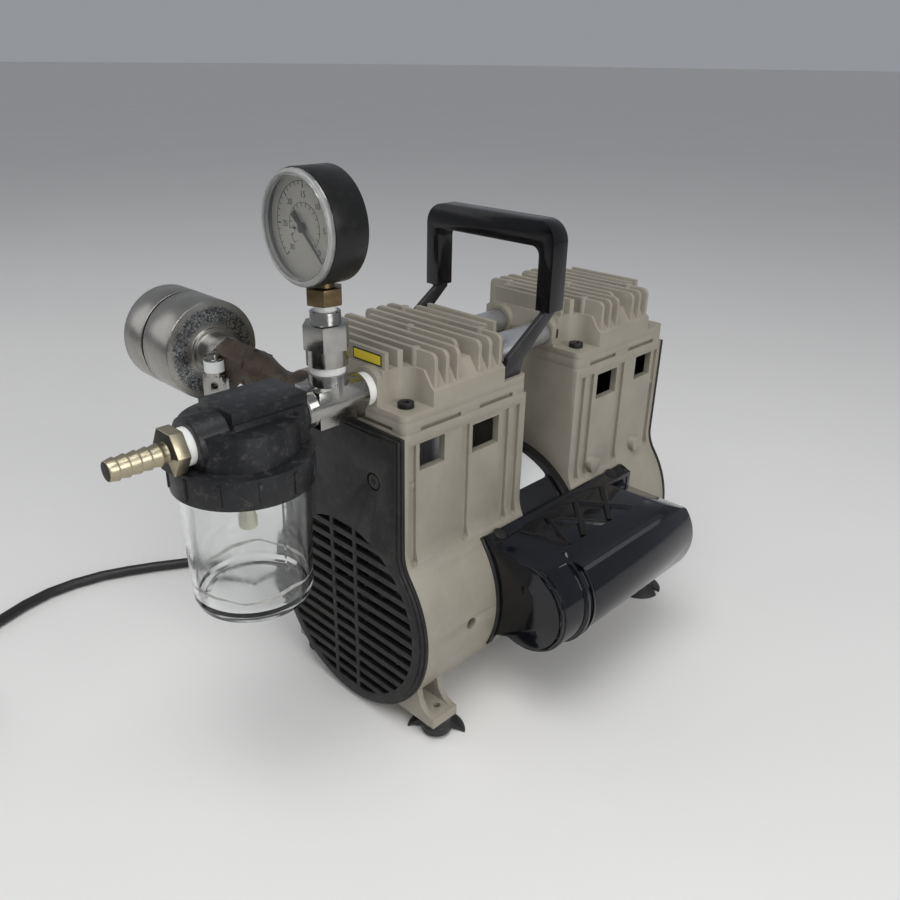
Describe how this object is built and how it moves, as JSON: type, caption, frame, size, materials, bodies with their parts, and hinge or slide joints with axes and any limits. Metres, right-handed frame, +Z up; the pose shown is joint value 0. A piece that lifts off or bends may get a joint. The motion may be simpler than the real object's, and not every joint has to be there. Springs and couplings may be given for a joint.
{
  "type": "piston vacuum pump",
  "caption": "Oil-free twin-head wobble piston vacuum pump on suction feet, with carry handle, vacuum gauge, relief branch, filter and clear liquid trap.",
  "frame": {"origin": "on the surface the pump stands on, at the centre of the box round the object without its cord", "axes": "+Y along the motor shaft away from the inlet, +Z up, +X towards the capacitor cover"},
  "size_m": [0.3363, 0.5495, 0.3056],
  "materials": {
    "cast_taupe": "satin taupe paint on die-cast aluminium",
    "black_cover": "matte black moulded plastic",
    "black_steel": "gloss black paint on pressed steel",
    "motor_black": "gloss black enamel on laminations",
    "copper_wire": "varnished copper wire",
    "rotor_steel": "turned laminations with cast end rings",
    "bright_steel": "ground steel",
    "spring_steel": "polished spring steel",
    "cast_grey": "as cast aluminium",
    "cup_ptfe": "filled PTFE cup",
    "fan_plastic": "moulded fan plastic",
    "sleeve_alu": "hard coated thin-wall aluminium",
    "tube_alu": "drawn aluminium tube",
    "black_screw": "black oxide steel",
    "strap_black": "satin black painted strap steel",
    "grip_gloss": "gloss black moulded grip",
    "cap_can": "drawn aluminium can",
    "rubber_black": "soft black rubber",
    "nickel": "nickel-plated brass",
    "ptfe_tape": "white thread seal tape",
    "dark_brass": "tarnished brass",
    "brass": "machined brass",
    "bronze": "dark patinated bronze",
    "case_black": "black painted steel case",
    "clear_lens": "clear plastic lens",
    "dial_grey": "printed dial",
    "needle_black": "black pointer",
    "trap_black": "black moulded plastic",
    "clear_bowl": "clear moulded plastic bowl",
    "nozzle_cream": "cream plastic",
    "zinc_can": "bright zinc-plated pressed steel",
    "felt_dark": "dark filter felt",
    "cord_black": "black mains cord jacket"
  },
  "bodies": {
    "base": {"housing_front": "cast_taupe", "housing_rear": "cast_taupe", "fan_cover_front": "black_cover", "fan_cover_rear": "black_cover", "cover_screws": "black_screw", "stator": "motor_black", "stator_windings": "copper_wire", "shaft_bearings": "bright_steel", "cylinder_sleeves": "sleeve_alu", "valve_plate_front": "cast_taupe", "valve_plate_rear": "cast_taupe", "reed_valves": "spring_steel", "seal_rings": "rubber_black", "head_front": "cast_taupe", "head_rear": "cast_taupe", "head_screws": "black_screw", "transfer_tubes": "tube_alu", "through_bolts": "bright_steel", "handle_strap": "strap_black", "handle_grip": "grip_gloss", "capacitor": "cap_can", "capacitor_cover": "black_steel", "cover_gasket": "rubber_black", "capacitor_screws": "black_screw", "suction_feet": "rubber_black", "pipe_cross": "nickel", "thread_tape": "ptfe_tape", "gauge_adapter": "nickel", "gauge_stem": "dark_brass", "gauge_case": "case_black", "gauge_lens": "clear_lens", "gauge_dial": "dial_grey", "trap_head": "trap_black", "trap_nozzle": "nozzle_cream", "hose_barb": "brass", "branch_fitting": "bronze", "relief_valve": "nickel", "filter_can": "zinc_can", "filter_cap": "zinc_can", "filter_element": "felt_dark", "power_cord": "cord_black", "cord_coil": "cord_black", "strain_relief": "cord_black", "mains_plug": "cord_black"},
    "shaft": {"motor_shaft": "bright_steel", "rotor": "rotor_steel", "eccentric_front": "cast_grey", "eccentric_rear": "cast_grey", "fan_front": "fan_plastic", "fan_rear": "fan_plastic"},
    "rod_a": {"rod_front": "cast_grey", "rod_bearing_front": "bright_steel", "piston_cup_front": "cup_ptfe", "cup_clamp_front": "bright_steel"},
    "rod_b": {"rod_rear": "cast_grey", "rod_bearing_rear": "bright_steel", "piston_cup_rear": "cup_ptfe", "cup_clamp_rear": "bright_steel"},
    "needle": {"gauge_needle": "needle_black"},
    "bowl": {"trap_bowl": "clear_bowl"}
  },
  "joints": [
    {"name": "shaft_spin", "type": "hinge", "parent": "base", "child": "shaft", "pos_m": [0.0116, 0.06375, 0.0645], "axis": [0, 1, 0], "continuous": true},
    {"name": "rod_a_turn", "type": "hinge", "parent": "shaft", "child": "rod_a", "pos_m": [0.0116, -0.00595, 0.0675], "axis": [0, 1, 0], "continuous": true},
    {"name": "rod_b_turn", "type": "hinge", "parent": "shaft", "child": "rod_b", "pos_m": [0.0116, 0.13345, 0.0615], "axis": [0, 1, 0], "continuous": true},
    {"name": "needle_turn", "type": "hinge", "parent": "base", "child": "needle", "pos_m": [0.0286, -0.08525, 0.2806], "axis": [0, -1, 0], "range_deg": [0, 270], "stiffness_Nm_per_rad": 0.0005},
    {"name": "bowl_drop", "type": "slide", "parent": "base", "child": "bowl", "axis": [0, 0, -1], "range_m": [0, 0.08]}
  ],
  "couplings": [
    {"joint": "rod_a_turn", "follows": "shaft_spin", "ratio": -1},
    {"joint": "rod_b_turn", "follows": "shaft_spin", "ratio": -1}
  ]
}
